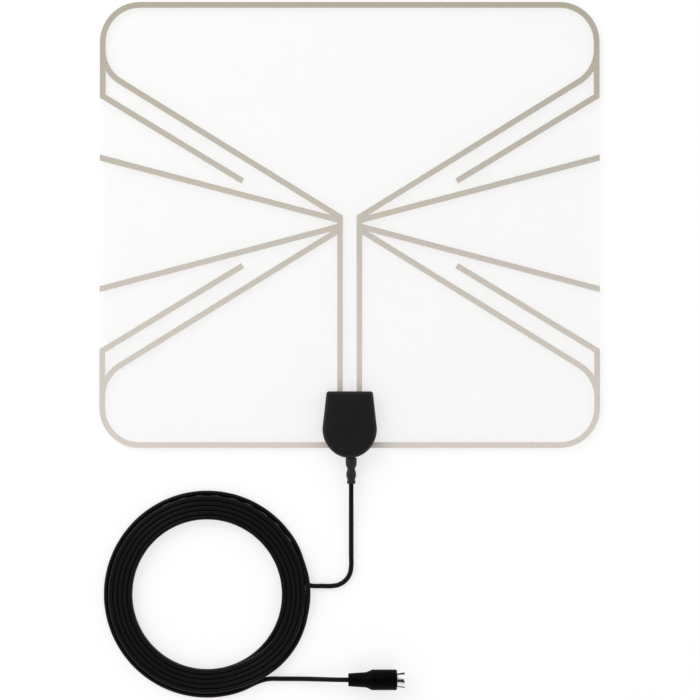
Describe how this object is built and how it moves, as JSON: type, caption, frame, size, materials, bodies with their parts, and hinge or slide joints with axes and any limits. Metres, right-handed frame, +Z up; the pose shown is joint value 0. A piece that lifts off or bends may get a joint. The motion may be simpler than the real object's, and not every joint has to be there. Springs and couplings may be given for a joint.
{
  "type": "indoor tv antenna",
  "caption": "Flat clear film aerial with a printed fan-shaped element, a small moulded housing at its lower edge and a coiled coaxial cable with a push-on plug.",
  "frame": {"origin": "on the table, under the middle of the film and housing together, without the cable", "axes": "+X across the film, +Y up the film away from the housing, +Z up from the table through the printed face"},
  "size_m": [0.335, 0.4657, 0.0137],
  "materials": {
    "film": "clear, glossy",
    "print": "matt printed conductor",
    "housing": "satin moulded",
    "screw": "zinc plated",
    "board": "solder mask",
    "contact": "plated",
    "ferrite": "matt",
    "copper": "enamelled or bare copper",
    "relief": "matt soft plastic",
    "cable": "satin jacket",
    "braid": "tinned copper",
    "white_plastic": "moulded",
    "plug": "satin moulded",
    "nickel": "nickel plated",
    "pin": "gold plated"
  },
  "bodies": {
    "root": {"film_sheet": "film", "antenna_element": "print", "housing_front": "housing", "housing_back": "housing", "housing_screws": "screw", "balun_board": "board", "contact_left": "contact", "contact_right": "contact", "ferrite_ring": "ferrite", "ring_winding": "copper", "strain_relief": "relief", "cable_jacket_end": "cable", "cable_braid": "braid", "cable_insulation": "white_plastic", "cable_core": "copper", "cable_lead": "cable", "cable_coil": "cable", "plug_lead": "cable", "plug_body": "plug", "plug_collar": "nickel", "plug_insulator": "white_plastic", "centre_pin": "pin"}
  },
  "joints": []
}
